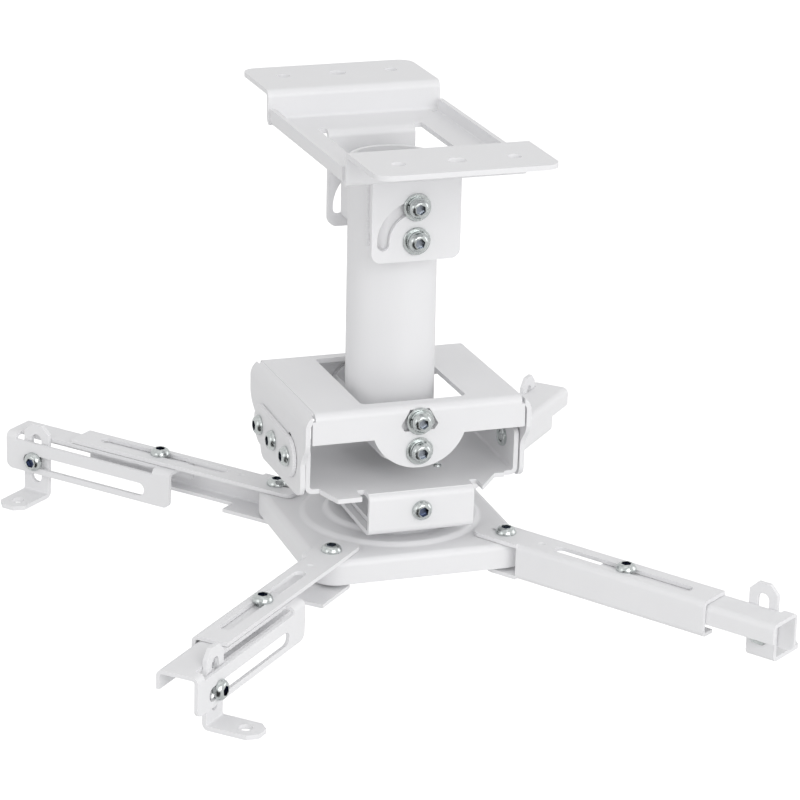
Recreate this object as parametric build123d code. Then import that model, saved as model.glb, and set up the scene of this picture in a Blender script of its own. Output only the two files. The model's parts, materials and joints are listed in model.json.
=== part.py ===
from build123d import *
import os

# Projector ceiling mount, in millimetres.
# The origin is the centre of the ceiling plate's mounting face. X runs along the
# two mounting flanges, Y from the front to the back, and Z points up.

# Sheet metal
SHEET = 2.5
ARM_SHEET = 2.0
LEG_SHEET = 2.5
SIDE_PLATE_SHEET = 2.0
TIGHT_BEND = 1.5
ARM_BEND = 1.2

# Clearances
SLIDE_GAP = 0.3
CLAMP_GAP = 0.5
BORE_GAP = 0.1
LEG_GAP = 0.5

# Ceiling plate
PLATE_WIDTH = 92.0
PLATE_LENGTH = 222.0
PLATE_CORNER = 8.0
STEP_SPAN = 129.0
STEP_DEPTH = 15.0
RIM_LENGTH = 116.0
RIM_HEIGHT = 6.5
RIM_RELIEF = 2.6
PLATE_WINDOW_WIDTH = 55.0
MOUNT_HOLE = 7.0
MOUNT_HOLE_PITCH_X = 58.0
MOUNT_HOLE_PITCH_Y = 182.0
CENTRE_HOLE = 9.0

# Ears of the ceiling plate
EAR_SPAN = 72.0
EAR_WIDTH = 46.0
EAR_BOTTOM = -65.0
EAR_CORNER = 5.0
EAR_RELIEF = 2.0
CEILING_AXIS_Z = -54.7
CEILING_ARC_RADIUS = 17.1
CEILING_TILT_RANGE = 90.0

# Tube
TUBE_DIAMETER = 45.0
TUBE_WALL = 2.0
TUBE_TOP = -21.0
TUBE_BOTTOM = -162.5

# Brackets at the top of the tube
BRACKET_WIDTH = 35.0
BRACKET_TOP = -28.0
BRACKET_BOTTOM = -62.0
BRACKET_CORNER = 8.0

# Brackets at the bottom of the tube
FOOT_BOTTOM_RADIUS = 9.0
FOOT_TOP_RADIUS = 20.0
FOOT_WING_BOTTOM = -163.0

# Upper yoke
YOKE_TOP = -136.0
YOKE_WIDTH = 118.0
YOKE_DEPTH = 94.0
YOKE_SIDE_BEND = 8.0
YOKE_FLANGE_BEND = 4.0
YOKE_FLANGE_WIDTH = 111.0
YOKE_RELIEF = 1.6
YOKE_FLANGE_BOTTOM = -152.0
YOKE_WINDOW_WIDTH = 55.0
YOKE_WINDOW_DEPTH = 76.0
YOKE_WINDOW_CORNER = 3.0
LOBE_RADIUS = 25.1
LOBE_CENTRE_Z = -143.2
ROLL_AXIS_Z = -159.5
ROLL_BOLT_RISE = 15.5
ROLL_OPENING_TOP = 10.0
ROLL_OPENING_WIDEST = 19.5
ROLL_OPENING_FOOT = 2.0
TAB_TOP = -152.0
TAB_BOTTOM = -182.0
TAB_FRONT = 39.0
TAB_BACK = 29.0
TAB_CORNER = 6.5

# Tilt between the two yokes
TILT_AXIS_Z = -164.0
TILT_BOLT_PITCH = 22.5
TILT_SLOT_HALF_ANGLE = 20.0
TILT_SHOWN = 2.0
SIDE_PLATE_END = 10.5
SIDE_PLATE_GAP = 0.2

# Lower yoke
LOWER_WALL_DEPTH = 76.0
LOWER_WALL_TOP = -155.0
LOWER_WALL_CORNER = 3.0
LOWER_BACK = 27.0
LOWER_PLATE_TOP = -176.8
LOWER_BEND = 4.0
LOWER_PLATE_FRONT = 51.0
LOWER_PLATE_WIDTH = 97.0
LIP_LEFT = 44.0
LIP_RIGHT = 32.0
LIP_CHAMFER = 11.0
TONGUE_WIDTH = 55.0
TONGUE_RELIEF = 4.0
TONGUE_RELIEF_DEPTH = 6.0
TRAY_TOP = -196.4
TRAY_SLOT = 21.0
LOCK_SCREW_Z = -186.9

# Slide plate and swivel
SLIDE_PLATE_WIDTH = 48.0
SLIDE_PLATE_BACK = 30.0
SLIDE_TAB_TOP = -181.2
SWIVEL_Y = -5.5
STUD_DIAMETER = 10.0
STUD_HEAD_DIAMETER = 20.0
STUD_HEAD_HEIGHT = 4.0
SPACER_DIAMETER = 20.0

# Hub
HUB_PIVOT_PITCH = 92.0
HUB_SIDE = 111.0
HUB_EAR = 11.5
HUB_TOP = -207.1
HUB_FLANGE_HEIGHT = 12.8
HUB_FLANGE_LENGTH = 76.0
RING_OUTER_RADIUS = 45.0
RING_INNER_RADIUS = 33.0
RING_STEP = 2.0
SLEEVE_DIAMETER = 10.0

# Arms
ARM_WIDTH = 19.2
ARM_HEIGHT = 18.9
ARM_LENGTH = 123.5
ARM_END = 9.5
ARM_WALL_START = 13.0
ARM_SLOT_START = 30.4
ARM_SLOT_END = 110.5
ARM_LIP = 9.0
ARM_LIP_START = 27.0
ARM_DIMPLE_PLACE = 22.0
ARM_DIMPLE = 4.0
ARM_DIMPLE_DEPTH = 0.6
SLOT_WIDTH = 6.5

# Sliders
SLIDER_INSET = 0.3
SLIDER_TIP = 89.4
SLIDER_TAIL = 16.0
SLIDER_SHORT_WALL = 10.0
SLIDER_TALL_WALL = 20.3
SLIDER_WINDOW_START = 0.0
SLIDER_WINDOW_END = 78.2
SLIDER_WINDOW_WIDTH = 7.0
SLIDER_WINDOW_DROP = 13.5
SLIDER_CORNER_SLOT_START = -5.0
SLIDER_CORNER_SLOT_END = 83.0
SLIDER_CORNER_SLOT_DROP = 3.4
SLIDER_CORNER_SLOT_INSET = 0.2
SLIDER_COLLAR_DIAMETER = 9.0
SLIDER_COLLAR_HEIGHT = 2.5

# Legs
LEG_WIDTH = 16.0
LEG_CHAMFER = 4.5
LEG_SLOT_TOP = 5.5
LEG_SLOT_LENGTH = 27.0
LEG_HEIGHT = 40.0
LEG_FOOT = 28.0
LEG_FOOT_HOLE = 6.5
LEG_BEND = 1.0

# Fasteners
BOLT_DIAMETER = 6.0
HEAD_DIAMETER = 10.5
HEAD_HEIGHT = 3.3
HEAD_RIM = 0.9
SOCKET_WIDTH = 4.0
SOCKET_DEPTH = 2.0
WASHER_DIAMETER = 14.0
WASHER_THICKNESS = 1.2
SPRING_WASHER_DIAMETER = 11.2
SPRING_WASHER_THICKNESS = 1.6
NUT_WIDTH = 10.0
NUT_HEIGHT = 5.0
THIN_NUT_HEIGHT = 4.0
HOLE_DIAMETER = 6.6
ARC_SLOT_WIDTH = 6.4

# How the photographed mount is set: angle of each arm, place of its slot screw,
# place of its leg along the slider, and height of the leg's top over its clamp.
ARM_SETTINGS = {
    "left": (129.8, 72.9, 71.5, 20.0),
    "front": (-135.3, 71.5, 68.5, 21.5),
    "right": (-55.5, 72.1, 72.5, 25.5),
    "back": (46.0, 61.5, 74.0, 22.0),
}

# Sizes that follow
EAR_OUTER = EAR_SPAN / 2
EAR_INNER = EAR_OUTER - SHEET
BRACKET_FACE = EAR_INNER - CLAMP_GAP
FLANGE_OUTER = YOKE_DEPTH / 2
FLANGE_INNER = FLANGE_OUTER - SHEET
FOOT_FACE = FLANGE_INNER - CLAMP_GAP
WALL_OUTER = YOKE_WIDTH / 2
WALL_INNER = WALL_OUTER - SHEET
LOWER_OUTER = WALL_INNER - CLAMP_GAP
LOWER_INNER = LOWER_OUTER - SHEET
SIDE_PLATE_INNER = WALL_OUTER + SIDE_PLATE_GAP
SIDE_PLATE_OUTER = SIDE_PLATE_INNER + SIDE_PLATE_SHEET
TRAY_BOTTOM = TRAY_TOP - SHEET
SLIDE_PLATE_BOTTOM = TRAY_TOP + SLIDE_GAP
SLIDE_PLATE_TOP = SLIDE_PLATE_BOTTOM + SHEET
SLIDE_TAB_OUTER = LOWER_PLATE_FRONT - SLIDE_GAP
RING_TOP = HUB_TOP + 2 * RING_STEP
ARM_TOP = HUB_TOP + SLIDE_GAP + ARM_SHEET
ARM_BOTTOM = ARM_TOP - ARM_HEIGHT
SLIDER_TOP = ARM_TOP - ARM_SHEET - SLIDER_INSET
SLIDER_SHORT_FACE = ARM_WIDTH / 2 - ARM_SHEET - SLIDER_INSET
LEG_INNER = ARM_WIDTH / 2 + SLIDE_GAP
LEG_OUTER = LEG_INNER + LEG_SHEET
TALL_INNER = LEG_OUTER + LEG_GAP
TALL_OUTER = TALL_INNER + ARM_SHEET
CLAMP_Z = SLIDER_TOP - SLIDER_WINDOW_DROP
HUB_ARM_PIVOTS = {"left": (-1, 1), "front": (-1, -1), "right": (1, -1), "back": (1, 1)}


# Sheet metal section: the sheet lies to the right of a line with rounded bends
def folded(points, radii, thickness):
    line = FilletPolyline(*points, radius=radii)
    return make_face(offset(line, amount=-thickness, side=Side.RIGHT, closed=True))


# Straight block between two corners
def block(x0, x1, y0, y1, z0, z1):
    middle = ((x0 + x1) / 2, (y0 + y1) / 2, (z0 + z1) / 2)
    return Pos(*middle) * Box(x1 - x0, y1 - y0, z1 - z0)


# Pin along X, Y or Z through a point
def pin_x(radius, x0, x1, y, z):
    return Pos((x0 + x1) / 2, y, z) * Rot(Y=90) * Cylinder(radius, x1 - x0)


def pin_y(radius, y0, y1, x, z):
    return Pos(x, (y0 + y1) / 2, z) * Rot(X=90) * Cylinder(radius, y1 - y0)


def pin_z(radius, z0, z1, x, y):
    return Pos(x, y, (z0 + z1) / 2) * Cylinder(radius, z1 - z0)


# Arc slot as a solid, cut from a sheet that lies across the given plane
def arc_slot(plane, radius, start, sweep, width, depth):
    return extrude(plane * SlotArc(CenterArc((0, 0), radius, start, sweep), width), depth, both=True)


# Button head screw with its seat at the origin, its head up and its shank down
def button_screw(shank):
    profile = Polyline((0, 0), (HEAD_DIAMETER / 2, 0), (HEAD_DIAMETER / 2, HEAD_RIM))
    crown = ThreePointArc(
        (HEAD_DIAMETER / 2, HEAD_RIM),
        (HEAD_DIAMETER * 0.38, HEAD_HEIGHT * 0.77),
        (HEAD_DIAMETER * 0.22, HEAD_HEIGHT),
    )
    close = Polyline((HEAD_DIAMETER * 0.22, HEAD_HEIGHT), (0, HEAD_HEIGHT), (0, 0))
    head = revolve(Plane.XZ * make_face([*profile.edges(), crown.edge(), *close.edges()]), Axis.Z)
    socket = extrude(RegularPolygon(SOCKET_WIDTH / 2, 6, major_radius=False), SOCKET_DEPTH)
    head -= Pos(0, 0, HEAD_HEIGHT - SOCKET_DEPTH) * socket
    return head + Pos(0, 0, -shank / 2) * Cylinder(BOLT_DIAMETER / 2, shank)


# Hexagon nut on the plane z = 0, with its thread as a plain bore
def hex_nut(height, width=NUT_WIDTH, bore=BOLT_DIAMETER):
    body = extrude(RegularPolygon(width / 2, 6, major_radius=False), height)
    return body - Pos(0, 0, height / 2) * Cylinder(bore / 2 + BORE_GAP, height)


# Flat ring on the plane z = 0
def ring(diameter, bore, height):
    return extrude(Circle(diameter / 2) - Circle(bore / 2), height)


# Places whose local Z points away from the object, at the front, back, left or right
def facing(point, direction):
    return Plane(origin=point, x_dir=(direction[1], -direction[0], 0), z_dir=direction).location


def at_front(x, y, z):
    return facing((x, -y, z), (0, -1, 0))


def at_back(x, y, z):
    return facing((x, y, z), (0, 1, 0))


# The lower half is drawn level, then turned about the tilt axis
def tilted(shape):
    return Pos(0, 0, TILT_AXIS_Z) * Rot(X=TILT_SHOWN) * Pos(0, 0, -TILT_AXIS_Z) * shape


# Ceiling plate: flanges, steps and web as one section, rims as a second one
def ceiling_plate():
    end = PLATE_LENGTH / 2
    step = STEP_SPAN / 2
    edge = PLATE_WIDTH / 2
    rim_end = RIM_LENGTH / 2
    outline = [(-end, 0), (-step + SHEET, 0), (-step + SHEET, -STEP_DEPTH)]
    outline += [(-y, z) for y, z in reversed(outline)]
    bends = [SHEET + TIGHT_BEND, TIGHT_BEND, TIGHT_BEND, SHEET + TIGHT_BEND]
    plate = extrude(Plane.YZ * folded(outline, bends, SHEET), edge, both=True)
    corners = plate.edges().filter_by(Axis.Z).group_by(SortBy.DISTANCE)[-1]
    plate = fillet(corners, PLATE_CORNER)
    web_top = -STEP_DEPTH
    plate -= block(-edge, edge, -rim_end, rim_end, web_top - SHEET, web_top)
    rims = [(-edge, web_top + RIM_HEIGHT), (-edge, web_top - SHEET)]
    rims += [(-x, z) for x, z in reversed(rims)]
    bend = SHEET + TIGHT_BEND / 2
    channel = folded(list(reversed(rims)), [bend, bend], SHEET)
    plate += extrude(Plane.XZ * channel, rim_end, both=True)
    relief = edge - SHEET - 2 * TIGHT_BEND
    for side in (-1, 1):
        for front in (-1, 1):
            near = front * rim_end
            far = front * (rim_end + RIM_RELIEF)
            plate -= block(*sorted((side * relief, side * (edge + 1))), *sorted((near, far)),
                           web_top - SHEET - 1, web_top + RIM_HEIGHT + 1)
    half_window = PLATE_WINDOW_WIDTH / 2
    plate -= block(-half_window, half_window, -EAR_OUTER - EAR_RELIEF, EAR_OUTER + EAR_RELIEF,
                   web_top - SHEET - 1, web_top + 1)
    for front in (-1, 1):
        plate += ear(front)
    for x in (-MOUNT_HOLE_PITCH_X / 2, 0, MOUNT_HOLE_PITCH_X / 2):
        bore = CENTRE_HOLE if x == 0 else MOUNT_HOLE
        for y in (-MOUNT_HOLE_PITCH_Y / 2, MOUNT_HOLE_PITCH_Y / 2):
            plate -= pin_z(bore / 2, -SHEET - 1, 1, x, y)
    return plate


# Ear folded down from an end of the window, with its pivot hole and arc slot
def ear(front):
    half = EAR_WIDTH / 2
    web_top = -STEP_DEPTH
    root = EAR_OUTER + EAR_RELIEF + 1
    line = [(EAR_INNER, EAR_BOTTOM), (EAR_INNER, web_top), (root, web_top)]
    section = folded(line, [SHEET + TIGHT_BEND], SHEET)
    leaf = extrude(Plane.YZ * section, half, both=True)
    lower = leaf.edges().filter_by(Axis.Y).group_by(Axis.Z)[0]
    leaf = fillet(lower, EAR_CORNER)
    plane = Plane.XZ.offset(-EAR_OUTER) * Pos(0, CEILING_AXIS_Z)
    leaf -= pin_y(HOLE_DIAMETER / 2, EAR_INNER - 1, EAR_OUTER + 1, 0, CEILING_AXIS_Z)
    slot = SlotArc(CenterArc((0, 0), CEILING_ARC_RADIUS, 90, CEILING_TILT_RANGE + 3), ARC_SLOT_WIDTH)
    leaf -= extrude(plane * slot, 2 * SHEET, both=True)
    return leaf if front == 1 else mirror(leaf, Plane.XZ)


# Tube with open ends
def tube():
    outer = TUBE_DIAMETER / 2
    pipe = pin_z(outer, TUBE_BOTTOM, TUBE_TOP, 0, 0)
    return pipe - pin_z(outer - TUBE_WALL, TUBE_BOTTOM, TUBE_TOP, 0, 0)


# Hat bracket welded to the tube behind an ear
def tube_bracket(front):
    half = BRACKET_WIDTH / 2
    line = [(half, 0), (half, BRACKET_FACE), (-half, BRACKET_FACE), (-half, 0)]
    section = folded(list(reversed(line)), [SHEET + TIGHT_BEND] * 2, SHEET)
    hat = Pos(0, 0, BRACKET_BOTTOM) * extrude(section, BRACKET_TOP - BRACKET_BOTTOM)
    hat -= pin_z(TUBE_DIAMETER / 2, BRACKET_BOTTOM - 1, BRACKET_TOP + 1, 0, 0)
    outline = Pos(0, (BRACKET_TOP + BRACKET_BOTTOM) / 2) * Rectangle(
        BRACKET_WIDTH, BRACKET_TOP - BRACKET_BOTTOM)
    lower = outline.vertices().group_by(Axis.Y)[0]
    outline = fillet(lower, BRACKET_CORNER)
    hat &= extrude(Plane.XZ * outline, -BRACKET_FACE - 1)
    for z in (CEILING_AXIS_Z, CEILING_AXIS_Z + CEILING_ARC_RADIUS):
        hat -= pin_y(BOLT_DIAMETER / 2 + BORE_GAP, TUBE_DIAMETER / 2, BRACKET_FACE + 1, 0, z)
    return hat if front == 1 else mirror(hat, Plane.XZ)


# Hat bracket welded to the foot of the tube, with a face round both roll bolts
def foot_bracket(front):
    half = BRACKET_WIDTH / 2
    bottom = ROLL_AXIS_Z - FOOT_BOTTOM_RADIUS
    top = ROLL_AXIS_Z + FOOT_TOP_RADIUS
    line = [(half, 0), (half, FOOT_FACE), (-half, FOOT_FACE), (-half, 0)]
    section = folded(list(reversed(line)), [SHEET + TIGHT_BEND] * 2, SHEET)
    hat = Pos(0, 0, bottom) * extrude(section, top - bottom)
    hat -= pin_z(TUBE_DIAMETER / 2, bottom - 1, top + 1, 0, 0)
    lobe = Pos(0, ROLL_AXIS_Z) * Circle(FOOT_BOTTOM_RADIUS)
    wings = Pos(0, (FOOT_WING_BOTTOM + top) / 2) * Rectangle(BRACKET_WIDTH, top - FOOT_WING_BOTTOM)
    outline = make_hull([*lobe.edges(), *wings.edges()])
    outline &= Pos(0, ROLL_AXIS_Z) * Circle(FOOT_TOP_RADIUS)
    hat &= extrude(Plane.XZ * outline, -FOOT_FACE - 1)
    for z in (ROLL_AXIS_Z, ROLL_AXIS_Z + ROLL_BOLT_RISE):
        hat -= pin_y(BOLT_DIAMETER / 2 + BORE_GAP, TUBE_DIAMETER / 2, FOOT_FACE + 1, 0, z)
    return hat if front == 1 else mirror(hat, Plane.XZ)


# Bolts, washers and weld nuts of one clamped pair, at the front and the back
def clamp_stack(outer, inner, heights):
    spring_seat = outer + WASHER_THICKNESS
    seat = spring_seat + SPRING_WASHER_THICKNESS
    nut_seat = inner - SHEET - NUT_HEIGHT
    bore = BOLT_DIAMETER + 2 * BORE_GAP
    bolts, washers, springs, nuts = [], [], [], []
    for place in (at_front, at_back):
        for z in heights:
            bolts.append(place(0, seat, z) * button_screw(seat - nut_seat + 1))
            washers.append(place(0, outer, z) * ring(WASHER_DIAMETER, bore, WASHER_THICKNESS))
            springs.append(place(0, spring_seat, z)
                           * ring(SPRING_WASHER_DIAMETER, bore, SPRING_WASHER_THICKNESS))
            nuts.append(place(0, nut_seat, z) * hex_nut(NUT_HEIGHT))
    return bolts, washers, springs, nuts


# Upper yoke: roof and side walls as one section, front and back flanges as another
def upper_yoke():
    flange_half = YOKE_FLANGE_WIDTH / 2
    side_line = [(-WALL_OUTER, TAB_BOTTOM), (-WALL_OUTER, YOKE_TOP), (WALL_OUTER, YOKE_TOP),
                 (WALL_OUTER, TAB_BOTTOM)]
    walls = extrude(Plane.XZ * folded(side_line, [YOKE_SIDE_BEND] * 2, SHEET), FLANGE_OUTER, both=True)
    walls &= extrude(Plane.YZ * yoke_side_outline(), WALL_OUTER + 1, both=True)
    roof_half = flange_half - YOKE_RELIEF
    bend_start = FLANGE_OUTER - YOKE_FLANGE_BEND
    for ends in ((-FLANGE_OUTER - 1, -bend_start), (bend_start, FLANGE_OUTER + 1)):
        walls -= block(-flange_half, flange_half, *ends, YOKE_TOP - YOKE_SIDE_BEND, YOKE_TOP + 1)
    flange_bottom = LOBE_CENTRE_Z - LOBE_RADIUS
    flange_line = [(-FLANGE_OUTER, flange_bottom), (-FLANGE_OUTER, YOKE_TOP),
                   (FLANGE_OUTER, YOKE_TOP), (FLANGE_OUTER, flange_bottom)]
    bend_foot = YOKE_TOP - YOKE_FLANGE_BEND
    flange_height = bend_foot - YOKE_FLANGE_BOTTOM
    face = Pos(0, bend_foot - flange_height / 2) * Rectangle(YOKE_FLANGE_WIDTH, flange_height)
    face += Pos(0, LOBE_CENTRE_Z) * Circle(LOBE_RADIUS)
    face += Pos(0, (YOKE_TOP + bend_foot) / 2) * Rectangle(2 * roof_half, YOKE_FLANGE_BEND)
    flanges = extrude(Plane.YZ * folded(flange_line, [YOKE_FLANGE_BEND] * 2, SHEET),
                      flange_half, both=True)
    flanges &= extrude(Plane.XZ * face, FLANGE_OUTER + 1, both=True)
    yoke = walls + flanges
    window = RectangleRounded(YOKE_WINDOW_WIDTH, YOKE_WINDOW_DEPTH, YOKE_WINDOW_CORNER)
    yoke -= Pos(0, 0, YOKE_TOP - SHEET - 1) * extrude(window, SHEET + 2)
    yoke -= pin_y(HOLE_DIAMETER / 2, -FLANGE_OUTER - 1, FLANGE_OUTER + 1, 0, ROLL_AXIS_Z)
    yoke -= extrude(Plane.XZ * roll_opening(), FLANGE_OUTER + 1, both=True)
    yoke -= pin_x(HOLE_DIAMETER / 2, -WALL_OUTER - 1, WALL_OUTER + 1, 0, TILT_AXIS_Z)
    plane = Plane.YZ * Pos(0, TILT_AXIS_Z)
    for middle in (0, 180):
        start = middle - TILT_SLOT_HALF_ANGLE
        yoke -= arc_slot(plane, TILT_BOLT_PITCH, start, 2 * TILT_SLOT_HALF_ANGLE,
                         ARC_SLOT_WIDTH, WALL_OUTER + 1)
    return yoke


# Side view of the upper yoke: full depth above, a narrower tab with S curves below
def yoke_side_outline():
    half = FLANGE_OUTER
    bend = 2 * TAB_CORNER
    front = Spline((-half, TAB_TOP), (-TAB_FRONT, TAB_TOP - bend),
                   tangents=((0.2, -1), (0.2, -1)))
    back = Spline((TAB_BACK, TAB_TOP - 2 * bend + TAB_CORNER), (half, TAB_TOP),
                  tangents=((0.2, 1), (0.2, 1)))
    bottom = TAB_BOTTOM
    lower = FilletPolyline((-TAB_FRONT, TAB_TOP - bend), (-TAB_FRONT, bottom), (TAB_BACK, bottom),
                           (TAB_BACK, TAB_TOP - 2 * bend + TAB_CORNER), radius=TAB_CORNER)
    upper = Polyline((half, TAB_TOP), (half, YOKE_TOP + 1), (-half, YOKE_TOP + 1), (-half, TAB_TOP))
    return make_face([front.edge(), *lower.edges(), back.edge(), *upper.edges()])


# Opening for the upper roll bolt, cut up into the flange's bend
def roll_opening():
    top = YOKE_TOP - YOKE_FLANGE_BEND / 2
    bolt_z = ROLL_AXIS_Z + ROLL_BOLT_RISE
    widest = bolt_z - BOLT_DIAMETER / 3
    bottom = bolt_z - BOLT_DIAMETER / 2 - ROLL_OPENING_FOOT
    half_top = ROLL_OPENING_TOP / 2
    half_wide = ROLL_OPENING_WIDEST / 2
    half_foot = half_wide - ROLL_OPENING_FOOT
    outline = Polyline((-half_top, top), (half_top, top), (half_wide, widest),
                       (half_foot, bottom), (-half_foot, bottom), (-half_wide, widest),
                       close=True)
    return make_face(outline)


# Lower yoke: walls and plate as one section, plate, tongue and tray as another
def lower_yoke():
    half = LOWER_WALL_DEPTH / 2
    plate_bottom = LOWER_PLATE_TOP - SHEET
    line = [(-LOWER_OUTER, LOWER_WALL_TOP), (-LOWER_OUTER, plate_bottom),
            (LOWER_OUTER, plate_bottom), (LOWER_OUTER, LOWER_WALL_TOP)]
    section = folded(list(reversed(line)), [LOWER_BEND] * 2, SHEET)
    walls = extrude(Plane.XZ * section, half, both=True)
    walls &= extrude(Plane.YZ * lower_side_outline(), LOWER_OUTER + 1, both=True)
    front = LOWER_PLATE_FRONT
    fold = [(LOWER_BACK, LOWER_PLATE_TOP), (-front - SHEET, LOWER_PLATE_TOP),
            (-front - SHEET, TRAY_BOTTOM), (LOWER_BACK, TRAY_BOTTOM)]
    section = folded(list(reversed(fold)), [SHEET + TIGHT_BEND] * 2, SHEET)
    tongue = extrude(Plane.YZ * section, TONGUE_WIDTH / 2, both=True)
    reach = LOWER_PLATE_WIDTH / 2
    lip_side = LIP_CHAMFER - front
    lip_back = LOWER_BEND - half
    outline = Polyline((-reach, lip_back), (-reach, lip_side), (-LIP_LEFT, -front), (LIP_RIGHT, -front),
                       (LIP_RIGHT + LIP_CHAMFER, lip_side), (reach, lip_side), (reach, lip_back),
                       close=True)
    lip = Pos(0, 0, plate_bottom) * extrude(make_face(outline), SHEET)
    yoke = walls + lip + tongue
    for side in (-1, 1):
        inner = side * TONGUE_WIDTH / 2
        outer = side * (TONGUE_WIDTH / 2 + TONGUE_RELIEF)
        yoke -= block(*sorted((inner, outer)), -front - 1, -front + TONGUE_RELIEF_DEPTH,
                      plate_bottom - 1, LOWER_PLATE_TOP + 1)
        for y in (-TILT_BOLT_PITCH, 0, TILT_BOLT_PITCH):
            ends = sorted((side * (LOWER_INNER - 1), side * (LOWER_OUTER + 1)))
            yoke -= pin_x(BOLT_DIAMETER / 2 + BORE_GAP, *ends, y, TILT_AXIS_Z)
    yoke -= block(-TRAY_SLOT / 2, TRAY_SLOT / 2, SWIVEL_Y, LOWER_BACK + 1,
                  TRAY_BOTTOM - 1, TRAY_TOP + 1)
    yoke -= pin_z(TRAY_SLOT / 2, TRAY_BOTTOM - 1, TRAY_TOP + 1, 0, SWIVEL_Y)
    yoke -= pin_y(HOLE_DIAMETER / 2, -front - SHEET - 1, -front + 1, 0, LOCK_SCREW_Z)
    return yoke


# Side view of the lower yoke's walls
def lower_side_outline():
    half = LOWER_WALL_DEPTH / 2
    bottom = LOWER_PLATE_TOP - SHEET
    outline = Polyline((-half, LOWER_WALL_TOP), (half, LOWER_WALL_TOP), (half, TILT_AXIS_Z),
                       (LOWER_BACK, bottom), (-half, bottom), close=True)
    face = make_face(outline)
    upper = face.vertices().group_by(Axis.Y)[-1]
    return fillet(upper, LOWER_WALL_CORNER)


# Side pressure plate: stadium with three bolt holes, outside the upper yoke
def side_plate(side):
    outline = SlotCenterToCenter(2 * TILT_BOLT_PITCH, 2 * SIDE_PLATE_END)
    for y in (-TILT_BOLT_PITCH, 0, TILT_BOLT_PITCH):
        outline -= Pos(y, 0) * Circle(BOLT_DIAMETER / 2 + BORE_GAP)
    plate = extrude(Plane.YZ * Pos(0, TILT_AXIS_Z) * outline, SIDE_PLATE_SHEET)
    plate = Pos(SIDE_PLATE_INNER, 0, 0) * plate
    return plate if side == 1 else mirror(plate, Plane.YZ)


# Three bolts that hold a side plate and screw into the lower yoke's wall
def side_bolts(side):
    bolts = []
    for y in (-TILT_BOLT_PITCH, 0, TILT_BOLT_PITCH):
        place = facing((side * SIDE_PLATE_OUTER, y, TILT_AXIS_Z), (side, 0, 0))
        bolts.append(place * button_screw(SIDE_PLATE_OUTER - LOWER_INNER))
    return bolts


# Slide plate: base in the tray with a tab turned up behind the tongue
def slide_plate():
    half = SLIDE_PLATE_WIDTH / 2
    line = [(-SLIDE_TAB_OUTER, SLIDE_TAB_TOP), (-SLIDE_TAB_OUTER, SLIDE_PLATE_BOTTOM),
            (SLIDE_PLATE_BACK, SLIDE_PLATE_BOTTOM)]
    section = folded(list(reversed(line)), [SHEET + TIGHT_BEND], SHEET)
    plate = extrude(Plane.YZ * section, half, both=True)
    lip = SLIDE_TAB_OUTER - SHEET
    plate -= pin_y(BOLT_DIAMETER / 2 + SLIDE_GAP, -SLIDE_TAB_OUTER - 1, -lip + 1, 0, LOCK_SCREW_Z)
    plate -= pin_z(STUD_DIAMETER / 2 + BORE_GAP, SLIDE_PLATE_BOTTOM - 1, SLIDE_PLATE_TOP + 1,
                   0, SWIVEL_Y)
    return plate


# Lock screw through the tongue, and its nut behind the slide plate's tab
def lock_screw():
    seat = LOWER_PLATE_FRONT + SHEET
    return at_front(0, seat, LOCK_SCREW_Z) * button_screw(3 * SHEET + NUT_HEIGHT + 1)


def lock_nut():
    seat = SLIDE_TAB_OUTER - SHEET - NUT_HEIGHT
    return at_front(0, seat, LOCK_SCREW_Z) * hex_nut(NUT_HEIGHT, bore=BOLT_DIAMETER + SLIDE_GAP)


# Swivel stud with its head under the hub, spacer and nut on the slide plate
def swivel_stud():
    head_top = RING_TOP - SHEET - SLIDE_GAP
    head = pin_z(STUD_HEAD_DIAMETER / 2, head_top - STUD_HEAD_HEIGHT, head_top, 0, SWIVEL_Y)
    nut_top = SLIDE_PLATE_TOP + 1.6 * NUT_HEIGHT
    return head + pin_z(STUD_DIAMETER / 2, head_top, nut_top + 1, 0, SWIVEL_Y)


def swivel_nut():
    nut = hex_nut(1.6 * NUT_HEIGHT, 1.7 * NUT_WIDTH, STUD_DIAMETER)
    return Pos(0, SWIVEL_Y, SLIDE_PLATE_TOP) * nut


def swivel_spacer():
    height = SLIDE_PLATE_BOTTOM - RING_TOP - SLIDE_GAP
    spacer = ring(SPACER_DIAMETER, STUD_DIAMETER + 2 * BORE_GAP, height)
    return Pos(0, SWIVEL_Y, RING_TOP + SLIDE_GAP) * spacer


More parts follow.
